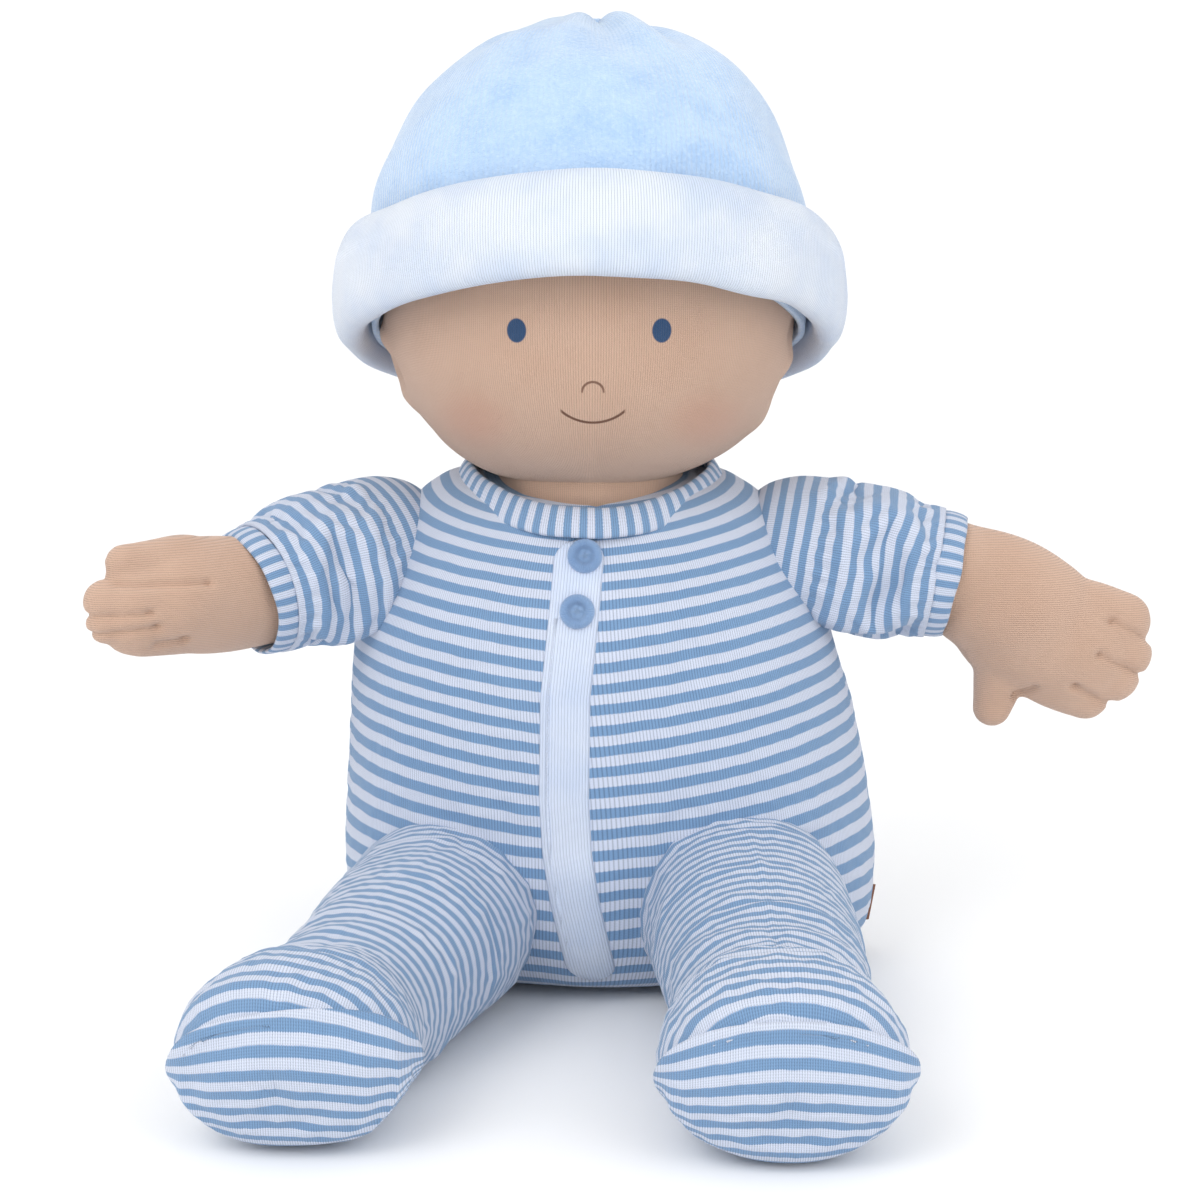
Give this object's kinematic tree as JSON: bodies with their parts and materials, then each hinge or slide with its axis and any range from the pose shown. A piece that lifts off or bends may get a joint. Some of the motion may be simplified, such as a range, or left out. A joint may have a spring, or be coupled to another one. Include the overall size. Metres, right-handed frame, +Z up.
{
  "type": "interactive baby doll",
  "caption": "Seated soft cloth baby doll in a striped footed romper and turned-up hat, with turning head, jointed limbs and a squeeze-to-play sound module inside.",
  "frame": {"origin": "middle of the flat seat face that the doll sits on", "axes": "+Z up, the doll faces -Y, its own left hand on +X"},
  "size_m": [0.3245, 0.2406, 0.2892],
  "materials": {
    "striped_jersey": "soft",
    "ribbed_trim": "soft",
    "white_rib": "soft",
    "blue_thread": "soft",
    "label_tape": "matte",
    "fastener_tape": "matte",
    "skin_knit": "soft",
    "fibre_filling": "soft",
    "pellet_cloth": "matte",
    "hat_velour": "soft",
    "white_interlock": "soft",
    "pouch_cloth": "matte",
    "case_plastic": "satin",
    "button_plastic": "gloss",
    "screw_steel": "satin",
    "cell_steel": "polished",
    "contact_metal": "satin",
    "board_green": "satin",
    "chip_black": "satin",
    "cone_paper": "matte",
    "magnet_steel": "satin",
    "lead_red": "satin"
  },
  "bodies": {
    "torso": {"romper_front": "striped_jersey", "romper_back": "striped_jersey", "body_skin_front": "skin_knit", "body_skin_back": "skin_knit", "body_filling": "fibre_filling", "seat_pellet_bag": "pellet_cloth", "neckband": "ribbed_trim", "button_placket": "white_rib", "upper_button": "blue_thread", "lower_button": "blue_thread", "side_label": "label_tape", "back_closure_loop_tape": "fastener_tape", "back_closure_hook_tape": "fastener_tape", "module_pouch": "pouch_cloth", "sound_case_front": "case_plastic", "sound_case_back": "case_plastic", "battery_door": "case_plastic", "battery_door_screw": "screw_steel", "case_screws": "screw_steel", "coin_cells": "cell_steel", "battery_contacts": "contact_metal", "speaker_frame": "chip_black", "speaker_cone": "cone_paper", "speaker_magnet": "magnet_steel", "circuit_board": "board_green", "sound_chip": "chip_black", "dome_switch": "contact_metal", "speaker_leads": "lead_red", "button_spring": "contact_metal"},
    "play_button": {"play_button": "button_plastic"},
    "neck": {"neck_skin": "skin_knit", "neck_filling": "fibre_filling"},
    "head": {"face_panel": "skin_knit", "head_back_panel": "skin_knit", "head_filling": "fibre_filling"},
    "hat": {"hat_top": "hat_velour", "hat_brim": "white_interlock"},
    "shoulder_left": {"shoulder_tab_left": "skin_knit"},
    "arm_left": {"arm_skin_left": "skin_knit", "arm_filling_left": "fibre_filling", "sleeve_left": "striped_jersey", "sleeve_cuff_left": "ribbed_trim"},
    "hip_left": {"hip_tab_left": "skin_knit"},
    "leg_left": {"leg_skin_left": "skin_knit", "leg_filling_left": "fibre_filling", "romper_leg_left": "striped_jersey", "toe_cap_left": "striped_jersey"},
    "shoulder_right": {"shoulder_tab_right": "skin_knit"},
    "arm_right": {"arm_skin_right": "skin_knit", "arm_filling_right": "fibre_filling", "sleeve_right": "striped_jersey", "sleeve_cuff_right": "ribbed_trim"},
    "hip_right": {"hip_tab_right": "skin_knit"},
    "leg_right": {"leg_skin_right": "skin_knit", "leg_filling_right": "fibre_filling", "romper_leg_right": "striped_jersey", "toe_cap_right": "striped_jersey"}
  },
  "joints": [
    {"name": "neck_turn", "type": "hinge", "parent": "torso", "child": "neck", "pos_m": [0, 0, 0.167], "axis": [0, 0, 1], "range_deg": [-40, 40]},
    {"name": "head_nod", "type": "hinge", "parent": "neck", "child": "head", "pos_m": [0, 0, 0.167], "axis": [1, 0, 0], "range_deg": [-10, 10]},
    {"name": "hat_lift", "type": "slide", "parent": "head", "child": "hat", "axis": [0, 0.342, 0.9397], "range_m": [0, 0.085]},
    {"name": "button_press", "type": "slide", "parent": "torso", "child": "play_button", "axis": [0, 1, 0], "range_m": [0, 0.0025], "stiffness_N_per_m": 600, "springref_m": -0.0005, "deforming": ["button_spring"]},
    {"name": "arm_left_swing", "type": "hinge", "parent": "torso", "child": "shoulder_left", "pos_m": [0.064, 0, 0.131], "axis": [0, 0, -1], "range_deg": [-17, 35]},
    {"name": "arm_left_raise", "type": "hinge", "parent": "shoulder_left", "child": "arm_left", "pos_m": [0.064, 0, 0.131], "axis": [-0.1045, -0.9945, 0], "range_deg": [-16, 47]},
    {"name": "arm_right_swing", "type": "hinge", "parent": "torso", "child": "shoulder_right", "pos_m": [-0.064, 0, 0.131], "axis": [0, 0, 1], "range_deg": [-47, 5]},
    {"name": "arm_right_raise", "type": "hinge", "parent": "shoulder_right", "child": "arm_right", "pos_m": [-0.064, 0, 0.131], "axis": [-0.5878, 0.809, 0], "range_deg": [-26, 37]},
    {"name": "leg_left_spread", "type": "hinge", "parent": "torso", "child": "hip_left", "pos_m": [0.043, -0.025, 0.0285], "axis": [0, 0, 1], "range_deg": [-4, 26]},
    {"name": "leg_left_lift", "type": "hinge", "parent": "hip_left", "child": "leg_left", "pos_m": [0.043, -0.025, 0.0285], "axis": [-0.9998, -0.0174, 0], "range_deg": [-8, 18]},
    {"name": "leg_right_spread", "type": "hinge", "parent": "torso", "child": "hip_right", "pos_m": [-0.043, -0.025, 0.0285], "axis": [0, 0, -1], "range_deg": [-19, 11]},
    {"name": "leg_right_lift", "type": "hinge", "parent": "hip_right", "child": "leg_right", "pos_m": [-0.043, -0.025, 0.0285], "axis": [-0.9613, 0.2756, 0], "range_deg": [-8, 18]}
  ]
}
